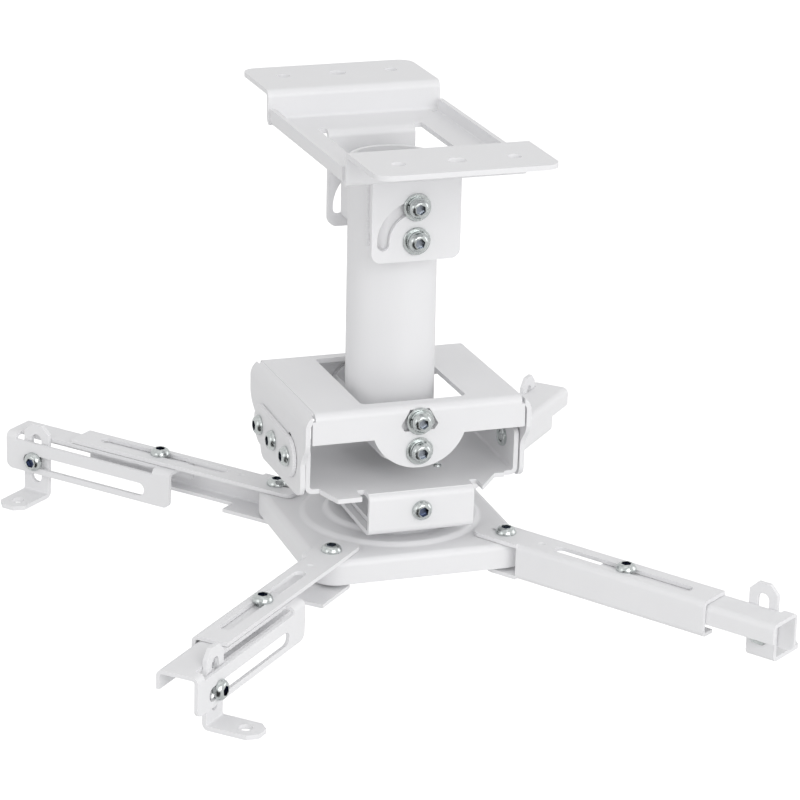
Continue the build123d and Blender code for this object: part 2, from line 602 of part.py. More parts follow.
# Hub: plate with rounded corner ears, folded flanges and stepped raised rings
def hub():
    side = HUB_SIDE / 2
    pivot = HUB_PIVOT_PITCH / 2
    outline = Rectangle(HUB_SIDE - 2 * SHEET, HUB_FLANGE_LENGTH)
    outline += Rectangle(HUB_FLANGE_LENGTH, HUB_SIDE - 2 * SHEET)
    outline += Rectangle(2 * pivot, 2 * pivot)
    for x in (-pivot, pivot):
        for y in (-pivot, pivot):
            outline += Pos(x, y) * Circle(HUB_EAR)
    plate = Pos(0, 0, HUB_TOP - SHEET) * extrude(outline, SHEET)
    flange_bottom = HUB_TOP - HUB_FLANGE_HEIGHT
    line = [(-side, flange_bottom), (-side, HUB_TOP), (side, HUB_TOP), (side, flange_bottom)]
    arch = extrude(Plane.YZ * folded(line, [SHEET + TIGHT_BEND] * 2, SHEET),
                   HUB_FLANGE_LENGTH / 2, both=True)
    plate += arch + Rot(Z=90) * arch
    radii = (RING_OUTER_RADIUS, RING_INNER_RADIUS)
    for step, radius in enumerate(radii, start=1):
        top = HUB_TOP + step * RING_STEP
        plate += pin_z(radius, HUB_TOP - SHEET, top, 0, 0)
    for step, radius in enumerate(radii, start=1):
        ceiling = HUB_TOP + step * RING_STEP - SHEET
        plate -= pin_z(radius - SHEET, flange_bottom, ceiling, 0, 0)
    plate -= pin_z(STUD_DIAMETER / 2 + SLIDE_GAP, HUB_TOP, RING_TOP + 1, 0, 0)
    for x in (-pivot, pivot):
        for y in (-pivot, pivot):
            plate -= pin_z(HOLE_DIAMETER / 2, HUB_TOP - SHEET - 1, HUB_TOP + 1, x, y)
    return Pos(0, SWIVEL_Y, 0) * plate


# Spacer sleeves under the hub's corners, round the arms' pivot screws
def hub_sleeves():
    height = HUB_TOP - SHEET - (ARM_BOTTOM + ARM_SHEET) - SLIDE_GAP
    pivot = HUB_PIVOT_PITCH / 2
    sleeves = []
    for x in (-pivot, pivot):
        for y in (-pivot, pivot):
            sleeve = ring(SLEEVE_DIAMETER, HOLE_DIAMETER, height)
            sleeves.append(Pos(x, y + SWIVEL_Y, HUB_TOP - SHEET - height) * sleeve)
    return sleeves


# Arm channel, drawn along X from its pivot: slotted top, closed wall, bottom lip
def arm_channel():
    half = ARM_WIDTH / 2
    line = [(half, ARM_TOP), (-half, ARM_TOP), (-half, ARM_BOTTOM), (half, ARM_BOTTOM)]
    bend = ARM_SHEET + ARM_BEND
    section = folded(list(reversed(line)), [bend] * 2, ARM_SHEET)
    length = ARM_LENGTH - ARM_WALL_START
    channel = Pos(ARM_WALL_START, 0, 0) * extrude(Plane.YZ * section, length)
    top = block(-ARM_END, ARM_WALL_START, -half, half, ARM_TOP - ARM_SHEET, ARM_TOP)
    corners = top.edges().filter_by(Axis.Z).group_by(Axis.X)[0]
    channel += fillet(corners, 2 * ARM_SHEET)
    bottom = Pos(0, 0, ARM_BOTTOM) * extrude(arm_bottom_outline(), ARM_SHEET)
    keep = Pos(ARM_LIP_START, 0, 0) * block(0, ARM_LENGTH, ARM_LIP - half, half + 1,
                                            ARM_BOTTOM - 1, ARM_BOTTOM + ARM_SHEET + 1)
    channel = channel - keep + bottom
    slot_length = ARM_SLOT_END - ARM_SLOT_START
    slot = extrude(SlotOverall(slot_length, SLOT_WIDTH), 2 * ARM_SHEET, both=True)
    channel -= Pos((ARM_SLOT_START + ARM_SLOT_END) / 2, 0, ARM_TOP) * slot
    channel -= pin_z(HOLE_DIAMETER / 2, ARM_BOTTOM - 1, ARM_TOP + 1, 0, 0)
    ball = (ARM_DIMPLE ** 2 / 4 + ARM_DIMPLE_DEPTH ** 2) / (2 * ARM_DIMPLE_DEPTH)
    channel -= Pos(ARM_DIMPLE_PLACE, 0, ARM_TOP - ARM_DIMPLE_DEPTH + ball) * Sphere(ball)
    return channel


# Bottom of the arm near its pivot: round end, then an S curve to the narrow lip
def arm_bottom_outline():
    half = ARM_WIDTH / 2
    bend = ARM_SHEET + ARM_BEND
    s_curve = Spline((ARM_WALL_START, half), (ARM_LIP_START, ARM_LIP - half),
                     tangents=((1, 0), (1, 0)))
    edge = Polyline((ARM_LIP_START, ARM_LIP - half), (ARM_LIP_START, bend - half),
                    (ARM_WALL_START, bend - half), (ARM_WALL_START, -half), (0, -half))
    end = ThreePointArc((0, -half), (-half, 0), (0, half))
    back = Line((0, half), (ARM_WALL_START, half))
    return make_face([s_curve.edge(), *edge.edges(), end.edge(), back.edge()])


# Slider, drawn along X from its slot screw: short wall, top, and tall windowed wall
def slider():
    line = [(-SLIDER_SHORT_FACE, SLIDER_TOP - SLIDER_SHORT_WALL), (-SLIDER_SHORT_FACE, SLIDER_TOP),
            (TALL_OUTER, SLIDER_TOP), (TALL_OUTER, SLIDER_TOP - SLIDER_TALL_WALL)]
    bend = ARM_SHEET + ARM_BEND
    section = folded(line, [bend] * 2, ARM_SHEET)
    length = SLIDER_TIP + SLIDER_TAIL
    body = Pos(-SLIDER_TAIL, 0, 0) * extrude(Plane.YZ * section, length)
    tall_bottom = body.edges().filter_by(Axis.Y).group_by(Axis.Z)[0]
    body = fillet(tall_bottom, 2 * ARM_SHEET)
    body -= block(SLIDER_CORNER_SLOT_START, SLIDER_CORNER_SLOT_END,
                  LEG_INNER - SLIDER_CORNER_SLOT_INSET, TALL_OUTER + 1,
                  SLIDER_TOP - SLIDER_CORNER_SLOT_DROP, SLIDER_TOP + 1)
    window_length = SLIDER_WINDOW_END - SLIDER_WINDOW_START
    window = extrude(Plane.XZ * SlotOverall(window_length, SLIDER_WINDOW_WIDTH), -2 * ARM_SHEET)
    middle = (SLIDER_WINDOW_START + SLIDER_WINDOW_END) / 2
    body -= Pos(middle, TALL_INNER - 0.5, CLAMP_Z) * window
    collar_bottom = SLIDER_TOP - ARM_SHEET - SLIDER_COLLAR_HEIGHT
    body += pin_z(SLIDER_COLLAR_DIAMETER / 2, collar_bottom, SLIDER_TOP - ARM_SHEET / 2, 0, 0)
    body -= pin_z(BOLT_DIAMETER / 2 + BORE_GAP, collar_bottom - 1, SLIDER_TOP + 1, 0, 0)
    return body


# Leg, drawn with its clamp at the origin of X and its top at the given rise
def leg(rise):
    top = CLAMP_Z + rise
    bottom = top - LEG_HEIGHT
    line = [(LEG_INNER, top), (LEG_INNER, bottom), (LEG_INNER + LEG_FOOT, bottom)]
    section = folded(line[::-1], [LEG_BEND + LEG_SHEET], LEG_SHEET)
    strip = extrude(Plane.YZ * section, LEG_WIDTH / 2, both=True)
    upper = strip.edges().filter_by(Axis.Y).group_by(Axis.Z)[-1]
    strip = chamfer(upper, LEG_CHAMFER)
    tips = strip.edges().filter_by(Axis.Z).group_by(Axis.Y)[-1]
    strip = chamfer(tips, LEG_CHAMFER)
    slot_middle = top - LEG_SLOT_TOP - LEG_SLOT_LENGTH / 2
    slot = extrude(Plane.XZ * Rot(Z=90) * SlotOverall(LEG_SLOT_LENGTH, SLOT_WIDTH), -4 * LEG_SHEET)
    strip -= Pos(0, LEG_INNER - 1, slot_middle) * slot
    hole_y = LEG_INNER + LEG_FOOT - LEG_FOOT_HOLE - LEG_SHEET
    strip -= pin_z(LEG_FOOT_HOLE / 2, bottom - 1, bottom + LEG_SHEET + 1, 0, hole_y)
    return strip


# Screws and nuts of one arm, each in the frame of the piece that carries it
def pivot_screw():
    return Pos(0, 0, ARM_TOP) * button_screw(ARM_HEIGHT + NUT_HEIGHT + 1)


def pivot_nut():
    return Pos(0, 0, ARM_BOTTOM - NUT_HEIGHT) * hex_nut(NUT_HEIGHT)


def slot_screw():
    length = ARM_TOP - SLIDER_TOP + ARM_SHEET + SLIDER_COLLAR_HEIGHT
    return Pos(0, 0, ARM_TOP) * button_screw(length)


def clamp_screw():
    length = TALL_OUTER - LEG_INNER + THIN_NUT_HEIGHT + 1
    return at_back(0, TALL_OUTER, CLAMP_Z) * button_screw(length)


def clamp_nut():
    return at_back(0, LEG_INNER - THIN_NUT_HEIGHT, CLAMP_Z) * hex_nut(THIN_NUT_HEIGHT)


# Every piece by its node's name, at its place
def pieces():
    ear_heights = (CEILING_AXIS_Z, CEILING_AXIS_Z + CEILING_ARC_RADIUS)
    roll_heights = (ROLL_AXIS_Z, ROLL_AXIS_Z + ROLL_BOLT_RISE)
    ear_stack = clamp_stack(EAR_OUTER, BRACKET_FACE, ear_heights)
    roll_stack = clamp_stack(FLANGE_OUTER, FOOT_FACE, roll_heights)
    named = {
        "ceiling_plate": ceiling_plate(),
        "tube": tube(),
        "tube_bracket_front": tube_bracket(-1),
        "tube_bracket_back": tube_bracket(1),
        "foot_bracket_front": foot_bracket(-1),
        "foot_bracket_back": foot_bracket(1),
        "ceiling_bolts": Compound(ear_stack[0]),
        "ceiling_washers": Compound(ear_stack[1]),
        "ceiling_spring_washers": Compound(ear_stack[2]),
        "weld_nuts": Compound(ear_stack[3] + roll_stack[3]),
        "roll_bolts": Compound(roll_stack[0]),
        "roll_washers": Compound(roll_stack[1]),
        "roll_spring_washers": Compound(roll_stack[2]),
        "upper_yoke": upper_yoke(),
    }
    level = {
        "lower_yoke": lower_yoke(),
        "side_plate_left": side_plate(-1),
        "side_plate_right": side_plate(1),
        "side_bolts_left": Compound(side_bolts(-1)),
        "side_bolts_right": Compound(side_bolts(1)),
        "lock_screw": lock_screw(),
        "slide_plate": slide_plate(),
        "lock_nut": lock_nut(),
        "swivel_stud": swivel_stud(),
        "swivel_nut": swivel_nut(),
        "swivel_spacer": swivel_spacer(),
        "hub": hub(),
        "hub_sleeves": Compound(hub_sleeves()),
    }
    channel = arm_channel()
    body = slider()
    for arm, (angle, reach, leg_place, rise) in ARM_SETTINGS.items():
        side_x, side_y = HUB_ARM_PIVOTS[arm]
        pivot = HUB_PIVOT_PITCH / 2
        on_arm = Pos(side_x * pivot, side_y * pivot + SWIVEL_Y, 0) * Rot(Z=angle)
        on_slider = on_arm * Pos(reach, 0, 0)
        on_leg = on_slider * Pos(leg_place, 0, 0)
        level[f"arm_{arm}"] = on_arm * channel
        level[f"pivot_screw_{arm}"] = on_arm * pivot_screw()
        level[f"pivot_nut_{arm}"] = on_arm * pivot_nut()
        level[f"slider_{arm}"] = on_slider * body
        level[f"slot_screw_{arm}"] = on_slider * slot_screw()
        level[f"leg_{arm}"] = on_leg * leg(rise)
        level[f"clamp_screw_{arm}"] = on_leg * clamp_screw()
        level[f"clamp_nut_{arm}"] = on_leg * clamp_nut()
    named.update({name: tilted(shape) for name, shape in level.items()})
    return named


os.makedirs("parts", exist_ok=True)
for name, shape in pieces().items():
    export_step(shape, f"parts/{name}.step")
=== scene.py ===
import json
from math import atan, atan2, cos, pi, radians, sin, sqrt, tan

import bmesh
import bpy
from mathutils import Matrix, Vector


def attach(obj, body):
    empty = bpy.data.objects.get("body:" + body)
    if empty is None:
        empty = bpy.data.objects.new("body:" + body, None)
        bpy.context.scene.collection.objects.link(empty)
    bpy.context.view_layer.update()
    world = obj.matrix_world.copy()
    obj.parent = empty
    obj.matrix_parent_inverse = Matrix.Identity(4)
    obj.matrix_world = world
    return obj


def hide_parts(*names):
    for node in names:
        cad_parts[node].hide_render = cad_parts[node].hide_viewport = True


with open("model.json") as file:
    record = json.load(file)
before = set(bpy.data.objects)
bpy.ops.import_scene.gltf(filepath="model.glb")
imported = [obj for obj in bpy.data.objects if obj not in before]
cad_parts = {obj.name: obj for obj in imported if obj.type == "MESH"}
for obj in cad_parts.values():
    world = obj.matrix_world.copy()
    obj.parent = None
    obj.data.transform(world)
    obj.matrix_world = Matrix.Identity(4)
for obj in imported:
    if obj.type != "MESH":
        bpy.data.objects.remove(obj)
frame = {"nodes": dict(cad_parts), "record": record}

# Camera and studio
# The mount hangs in a white studio, seen from its left front and a little above.
# A large lamp stands in front, weaker ones at both sides and above, and white all round.
MM = 0.001
MIDDLE = Vector((0, 0, -148.08 * MM))
CAMERA_DISTANCE = 1.88545
PICTURE_HALF = 400
FOCAL_LENGTH = 3734.05
LAMP_AIM = Vector((0, 0, -0.15))
FLOOR_HEIGHT = -0.75
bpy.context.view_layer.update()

around = radians(19.131)
above = radians(18.446)
lean = radians(1.106)
back = Vector((-sin(around) * cos(above), -cos(around) * cos(above), sin(above)))
level = Vector((cos(around), -sin(around), 0))
upright = back.cross(level)
right = level * cos(lean) + upright * sin(lean)
top = upright * cos(lean) - level * sin(lean)
eye = MIDDLE + back * CAMERA_DISTANCE
lens = bpy.data.cameras.new("studio_camera")
lens.angle = 2 * atan(PICTURE_HALF / FOCAL_LENGTH)
lens.shift_x = 0.0136
lens.shift_y = -0.0005
camera = bpy.data.objects.new("studio_camera", lens)
camera.matrix_world = Matrix.Translation(eye) @ Matrix((right, top, back)).transposed().to_4x4()
bpy.context.scene.collection.objects.link(camera)
bpy.context.scene.camera = camera
bpy.context.scene.view_settings.view_transform = "Standard"


def lamp(name, place, width, height, power):
    light = bpy.data.lights.new(name, "AREA")
    light.shape = "RECTANGLE"
    light.size = width
    light.size_y = height
    light.energy = power
    stand = bpy.data.objects.new(name, light)
    turn = (Vector(place) - LAMP_AIM).to_track_quat("Z", "Y")
    stand.matrix_world = Matrix.Translation(place) @ turn.to_matrix().to_4x4()
    bpy.context.scene.collection.objects.link(stand)


lamp("key_lamp", (0.4, -2.8, 1.0), 1.6, 1.6, 24)
lamp("right_lamp", (2.6, -0.4, 0.5), 1.4, 1.4, 7)
lamp("left_lamp", (-2.7, -1.0, 0.8), 1.4, 1.4, 5)
lamp("top_lamp", (-0.3, -0.6, 2.3), 1.6, 1.6, 2)
lamp("low_lamp", (-0.5, -2.8, 0.25), 1.4, 1.0, 5)


def material_tree(name):
    material = bpy.data.materials.new(name)
    material.use_nodes = True
    material.node_tree.nodes.clear()
    return material, material.node_tree


def node(tree, kind, links=(), **values):
    made = tree.nodes.new(kind)
    for key, value in values.items():
        setattr(made, key, value)
    for socket, source in dict(links).items():
        if hasattr(source, "is_output"):
            tree.links.new(source, made.inputs[socket])
        else:
            made.inputs[socket].default_value = source
    return made


world = bpy.data.worlds.new("white_studio")
world.use_nodes = True
sky = world.node_tree
sky.nodes.clear()
direction = node(sky, "ShaderNodeTexCoord").outputs["Generated"]
toward_card = node(sky, "ShaderNodeVectorMath", {0: direction, 1: (-0.42, -0.80, -0.43)},
                   operation="DOT_PRODUCT")
front_card = node(sky, "ShaderNodeMapRange", {"Value": toward_card.outputs["Value"],
                                              "From Min": 0.74, "From Max": 0.86,
                                              "To Min": 0.85, "To Max": 0.04})
path = node(sky, "ShaderNodeLightPath")
glossy = node(sky, "ShaderNodeMix", {"Factor": path.outputs["Is Glossy Ray"],
                                     "A": 0.69, "B": front_card.outputs["Result"]})
shown = node(sky, "ShaderNodeMath", {0: path.outputs["Is Camera Ray"],
                                     1: path.outputs["Is Transmission Ray"]}, operation="MAXIMUM")
level_of_white = node(sky, "ShaderNodeMix", {"Factor": shown.outputs[0],
                                             "A": glossy.outputs["Result"], "B": 1.0})
glow = node(sky, "ShaderNodeBackground", {"Strength": level_of_white.outputs["Result"]})
glow.inputs["Color"].default_value = (1, 1, 1, 1)
node(sky, "ShaderNodeOutputWorld", {"Surface": glow.outputs[0]})
bpy.context.scene.world = world

floor_mesh = bpy.data.meshes.new("studio_floor")
bm = bmesh.new()
bmesh.ops.create_grid(bm, x_segments=1, y_segments=1, size=12)
bmesh.ops.translate(bm, vec=(0, 0, FLOOR_HEIGHT), verts=bm.verts)
bm.to_mesh(floor_mesh)
bm.free()
floor = bpy.data.objects.new("studio_floor", floor_mesh)
bpy.context.scene.collection.objects.link(floor)
paint, tree = material_tree("white_floor")
grain = node(tree, "ShaderNodeTexNoise", {"Scale": 3.0, "Detail": 2.0})
shade = node(tree, "ShaderNodeMix", {"Factor": grain.outputs["Fac"], "A": (0.8, 0.8, 0.8, 1),
                                     "B": (0.84, 0.84, 0.84, 1)}, data_type="RGBA")
matt = node(tree, "ShaderNodeBsdfDiffuse", {"Color": shade.outputs[2]})
path = node(tree, "ShaderNodeLightPath")
lift = node(tree, "ShaderNodeMath", {0: path.outputs["Is Camera Ray"], 1: 0.6}, operation="MULTIPLY")
lit = node(tree, "ShaderNodeEmission", {"Strength": lift.outputs[0]})
both = node(tree, "ShaderNodeAddShader", {0: matt.outputs[0], 1: lit.outputs[0]})
clear = node(tree, "ShaderNodeBsdfTransparent")
seen = node(tree, "ShaderNodeMixShader", {"Fac": path.outputs["Is Glossy Ray"],
                                          1: both.outputs[0], 2: clear.outputs[0]})
node(tree, "ShaderNodeOutputMaterial", {"Surface": seen.outputs[0]})
floor_mesh.materials.append(paint)

# Ceiling plate
# Pressed from one steel sheet: two mounting flanges stepped up from a web with rims,
# and two ears folded down from the web's window. Powder coated white after pressing.
SHEARED_EDGE = 0.35


def powder_coat(name):
    coat, tree = material_tree(name)
    place = node(tree, "ShaderNodeTexCoord").outputs["Object"]
    cloud = node(tree, "ShaderNodeTexNoise", {"Vector": place, "Scale": 18.0, "Detail": 3.0})
    colour = node(tree, "ShaderNodeMix", {"Factor": cloud.outputs["Fac"],
                                          "A": (0.80, 0.80, 0.815, 1), "B": (0.86, 0.86, 0.87, 1)},
                  data_type="RGBA")
    # Edges are painted lighter: the Bevel node's rounded normal marks every edge, and there the colour
    # is mixed towards a paler white, a painted highlight along the edges.
    rounded = node(tree, "ShaderNodeBevel", {"Radius": 0.9 * MM}, samples=4)
    facing = node(tree, "ShaderNodeNewGeometry").outputs["Normal"]
    bend = node(tree, "ShaderNodeVectorMath", {0: rounded.outputs[0], 1: facing},
                operation="DOT_PRODUCT")
    edge = node(tree, "ShaderNodeMapRange", {"Value": bend.outputs["Value"], "From Min": 0.97,
                                             "From Max": 0.80, "To Min": 0.0, "To Max": 0.5})
    # Painted highlight: the coat's colour turns paler white along the edges.
    edge_highlight = node(tree, "ShaderNodeMix", {"Factor": edge.outputs[0], "A": colour.outputs[2],
                                        "B": (0.90, 0.90, 0.905, 1)}, data_type="RGBA")
    pimple = node(tree, "ShaderNodeTexNoise", {"Vector": place, "Scale": 750.0, "Detail": 1.0})
    gloss = node(tree, "ShaderNodeMapRange", {"Value": cloud.outputs["Fac"], "From Min": 0.3,
                                              "From Max": 0.7, "To Min": 0.36, "To Max": 0.48})
    skin = node(tree, "ShaderNodeBump", {"Height": pimple.outputs["Fac"], "Strength": 0.10,
                                         "Distance": 0.15 * MM})
    shader = node(tree, "ShaderNodeBsdfPrincipled", {"Base Color": edge_highlight.outputs[2],
                                                     "Roughness": gloss.outputs[0],
                                                     "Normal": skin.outputs[0]})
    node(tree, "ShaderNodeOutputMaterial", {"Surface": shader.outputs[0]})
    return coat


body_of = {part: body for body, parts in frame["record"]["behaviour"]["bodies"].items()
           for part in parts}
coat = powder_coat("white_powder_coat")


def hang(bm, name, part, materials, crease=28, modifiers=True):
    for edge in bm.edges:
        edge.smooth = not (edge.is_manifold and edge.calc_face_angle() > radians(crease))
    for face in bm.faces:
        face.smooth = True
    mesh = bpy.data.meshes.new(name)
    bm.to_mesh(mesh)
    bm.free()
    for material in materials:
        mesh.materials.append(material)
    piece = bpy.data.objects.new(name, mesh)
    bpy.context.scene.collection.objects.link(piece)
    if modifiers:
        even = piece.modifiers.new("even_shading", "WEIGHTED_NORMAL")
        even.keep_sharp = True
    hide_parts(part)
    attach(piece, body_of[part])
    return piece


def pressed(part, edge=SHEARED_EDGE):
    bm = bmesh.new()
    bm.from_mesh(frame["nodes"][part].data)
    bmesh.ops.remove_doubles(bm, verts=bm.verts, dist=0.002 * MM)
    bmesh.ops.dissolve_limit(bm, angle_limit=radians(0.4), verts=bm.verts, edges=bm.edges)
    sharp = [e for e in bm.edges if e.is_manifold and e.calc_face_angle() > radians(40)]
    bmesh.ops.bevel(bm, geom=sharp, offset=edge * MM, offset_type="OFFSET", segments=2,
                    profile=0.5, affect="EDGES", clamp_overlap=True, loop_slide=True, material=-1)
    return bm


hang(pressed("ceiling_plate"), "ceiling_plate_pressing", "ceiling_plate", [coat])

# Tube and its brackets
# A length of welded steel tube with a hat bracket at the front and the back of each end.
# The brackets' wings are arc welded to the tube, and the coat runs over the beads.
hang(pressed("tube"), "tube_steel", "tube", [coat])
for part in ("tube_bracket_front", "tube_bracket_back", "foot_bracket_front", "foot_bracket_back"):
    hang(pressed(part), part + "_pressing", part, [coat])

# Bolts that clamp the tube's brackets to the ears
# Zinc plated button head screws with a hexagon socket, each over a spring washer and a
# flat washer, driven into nuts that are welded behind the brackets.


def zinc_plate(name, socket_shade=0.0):
    zinc, tree = material_tree(name)
    place = node(tree, "ShaderNodeTexCoord").outputs["Object"]
    bloom = node(tree, "ShaderNodeTexNoise", {"Vector": place, "Scale": 900.0, "Detail": 3.0})
    # The second argument darkens both zinc colours towards blue black: painted shade for the inside of
    # the hex sockets.
    dull = (0.40 - socket_shade * 0.33, 0.43 - socket_shade * 0.34, 0.43 - socket_shade * 0.27, 1)
    bright = (0.78 - socket_shade * 0.68, 0.81 - socket_shade * 0.68, 0.80 - socket_shade * 0.58, 1)
    colour = node(tree, "ShaderNodeMix", {"Factor": bloom.outputs["Fac"], "A": dull, "B": bright},
                  data_type="RGBA")
    gloss = node(tree, "ShaderNodeMapRange", {"Value": bloom.outputs["Fac"], "From Min": 0.3,
                                              "From Max": 0.7, "To Min": 0.14, "To Max": 0.30})
    scratch = node(tree, "ShaderNodeTexNoise", {"Vector": place, "Scale": 1600.0, "Detail": 2.0})
    skin = node(tree, "ShaderNodeBump", {"Height": scratch.outputs["Fac"], "Strength": 0.25,
                                         "Distance": 0.08 * MM})
    shader = node(tree, "ShaderNodeBsdfPrincipled", {"Base Color": colour.outputs[2], "Metallic": 1.0,
                                                     "Roughness": gloss.outputs[0],
                                                     "Normal": skin.outputs[0]})
    node(tree, "ShaderNodeOutputMaterial", {"Surface": shader.outputs[0]})
    return zinc


# Darker copies of the zinc for the sockets' walls and floors are painted shade in the recess. The second
# copy is nearly black with a blue tint.
zinc = zinc_plate("bright_zinc")
shaded_socket_zinc = zinc_plate("shaded_socket_zinc", 0.55)
blue_shaded_socket = zinc_plate("blue_shaded_socket_zinc", 0.92)
THREAD_PITCH = 1.0
BOLT_RADIUS = 3.0
SOCKET = 4.6
SOCKET_DEPTH = 2.2
BUTTON_HEAD = [(3.15, 3.3), (3.4, 3.22), (3.9, 2.92), (4.4, 2.44), (4.8, 1.82), (5.08, 1.2), (5.2, 0.75),
               (5.2, 0.2), (5.0, 0), (BOLT_RADIUS, 0)]
FLAT_WASHER = 1.2
SPLIT_WASHER = 1.6
NUT = 10.0


def turned(bm, profile, steps=48):
    corners = [bm.verts.new((r * MM, 0, z * MM)) for r, z in profile]
    lines = [bm.edges.new(pair) for pair in zip(corners, corners[1:])]
    bmesh.ops.spin(bm, geom=corners + lines, axis=(0, 0, 1), cent=(0, 0, 0), steps=steps,
                   angle=2 * pi, use_merge=True)
    bmesh.ops.remove_doubles(bm, verts=bm.verts, dist=0.002 * MM)


def thread(bm, radius, start, turns, pitch=THREAD_PITCH, steps=20):
    root = radius - 0.6 * pitch
    ridge = [bm.verts.new((r * MM, 0, (start + z * pitch) * MM))
             for r, z in ((root, 0.05), (radius - 0.02, 0.42), (radius - 0.02, 0.58), (root, 0.95))]
    face = bm.faces.new(ridge)
    bmesh.ops.spin(bm, geom=[face], axis=(0, 0, 1), cent=(0, 0, 0), steps=round(steps * turns),
                   dvec=(0, 0, pitch * MM / steps), angle=2 * pi * turns)


def to_hexagon(verts, across):
    for corner in verts:
        angle = atan2(corner.co.y, corner.co.x) % (pi / 3) - pi / 6
        reach = across / 2 / cos(angle) * MM / Vector(corner.co[:2]).length
        corner.co.x *= reach
        corner.co.y *= reach


def button_screw(shank, threaded):
    plain = shank - threaded
    core = BOLT_RADIUS - 0.55 * THREAD_PITCH
    bm = bmesh.new()
    turned(bm, BUTTON_HEAD + [(BOLT_RADIUS, -plain), (core, -plain - 0.4), (core, 0.5 - shank),
                              (core - 0.6, -shank), (0, -shank)])
    mouth = [e for e in bm.edges if e.is_boundary]
    rim = bmesh.ops.extrude_edge_only(bm, edges=mouth)["geom"]
    to_hexagon([v for v in rim if isinstance(v, bmesh.types.BMVert)], SOCKET)
    rim = [e for e in rim if isinstance(e, bmesh.types.BMEdge) and e.is_boundary]
    before = set(bm.faces)
    walls = bmesh.ops.extrude_edge_only(bm, edges=rim)["geom"]
    foot = [v for v in walls if isinstance(v, bmesh.types.BMVert)]
    bmesh.ops.translate(bm, vec=(0, 0, -SOCKET_DEPTH * MM), verts=foot)
    ends = [e for e in walls if isinstance(e, bmesh.types.BMEdge) and e.is_boundary]
    floor_face = bmesh.ops.edgeloop_fill(bm, edges=ends)["faces"]
    bmesh.ops.poke(bm, faces=floor_face, offset=-0.4 * MM)
    # The socket's walls and floor take the second material, the painted shade of the socket.
    for face in set(bm.faces) - before:
        face.material_index = 1
    bmesh.ops.recalc_face_normals(bm, faces=bm.faces)
    if threaded > 1:
        thread(bm, BOLT_RADIUS, 0.3 - shank, threaded - 0.9)
    return as_stock(bm)


def as_stock(bm):
    stock = bpy.data.meshes.new("stock")
    bm.to_mesh(stock)
    bm.free()
    return stock


def turning(profile, steps=48):
    bm = bmesh.new()
    turned(bm, profile, steps)
    bmesh.ops.recalc_face_normals(bm, faces=bm.faces)
    return as_stock(bm)


def flat_washer(across, thickness):
    inside = BOLT_RADIUS + 0.1
    outside = across / 2
    soft = 0.2
    return turning([(inside, soft), (inside + soft, 0), (outside - soft, 0), (outside, soft),
                    (outside, thickness - soft), (outside - soft, thickness),
                    (inside + soft, thickness), (inside, thickness - soft), (inside, soft)])


def spring_washer(across, thickness):
    bm = bmesh.new()
    inside = BOLT_RADIUS + 0.15
    outside = across / 2
    rise = 0.35
    tall = thickness - rise
    soft = 0.15
    section = [(inside, soft), (inside + soft, 0), (outside - soft, 0), (outside, soft),
               (outside, tall - soft), (outside - soft, tall), (inside + soft, tall),
               (inside, tall - soft)]
    face = bm.faces.new([bm.verts.new((r * MM, 0, z * MM)) for r, z in section])
    steps = 44
    bmesh.ops.spin(bm, geom=[face], axis=(0, 0, 1), cent=(0, 0, 0), steps=steps,
                   dvec=(0, 0, rise * MM / steps), angle=radians(350))
    bmesh.ops.recalc_face_normals(bm, faces=bm.faces)
    return as_stock(bm)


def hex_nut(across, height, bore=BOLT_RADIUS):
    bm = bmesh.new()
    land = 0.47 * across
    root = bore - 0.25
    mouth = bore + 0.35
    turned(bm, [(root, 0.6), (mouth, 0), (land, 0), (across, 0), (across, height), (land, height),
                (mouth, height), (root, height - 0.6), (root, 0.6)])
    sides = [v for v in bm.verts if Vector(v.co[:2]).length > 0.9 * across * MM]
    to_hexagon(sides, across)
    for corner in sides:
        drop = (Vector(corner.co[:2]).length - land * MM) * tan(radians(30))
        corner.co.z += -drop if corner.co.z > height * MM / 2 else drop
    bmesh.ops.recalc_face_normals(bm, faces=bm.faces)
    return as_stock(bm)


def seat(point, direction, turn=0.0):
    quarter = Vector(direction).to_track_quat("Z", "Y").to_matrix().to_4x4()
    return Matrix.Translation(Vector(point) * MM) @ quarter @ Matrix.Rotation(radians(turn), 4, "Z")


def set_of(stock, places):
    bm = bmesh.new()
    for place in places:
        count = len(bm.verts)
        bm.from_mesh(stock)
        bm.verts.ensure_lookup_table()
        bmesh.ops.transform(bm, matrix=place, verts=bm.verts[count:])
    return bm


def clamped_pair(outer, heights, joint):
    flat_places, spring_places, screw_places = [], [], []
    for turn, (side, z) in enumerate((s, z) for s in (-1, 1) for z in heights):
        direction = (0, side, 0)
        flat_places.append(seat((0, side * outer, z), direction))
        outer_washer = outer + FLAT_WASHER
        spring_places.append(seat((0, side * outer_washer, z), direction, 70 + 95 * turn))
        under_head = outer_washer + SPLIT_WASHER
        screw_places.append(seat((0, side * under_head, z), direction, 12 + 23 * turn))
    hang(set_of(flat_washer(14.0, FLAT_WASHER), flat_places), joint + "_flat_washers",
         joint + "_washers", [zinc])
    hang(set_of(spring_washer(11.2, SPLIT_WASHER), spring_places), joint + "_split_washers",
         joint + "_spring_washers", [zinc])
    hang(set_of(button_screw(14.3, 6.0), screw_places), joint + "_button_screws", joint + "_bolts",
         [zinc, shaded_socket_zinc])


CEILING_BOLTS = (-54.7, -37.6)
EAR_FACE = 36.0
clamped_pair(EAR_FACE, CEILING_BOLTS, "ceiling")

# Weld beads
# Arc welds run down both wings of every hat bracket, where it meets the tube. Each bead is
# a row of small ripples, coated over with the rest.
BEAD_RIPPLE = 1.4
BEAD_RADIUS = 1.15
BEAD_X = 17.5
BEAD_Y = 14.1


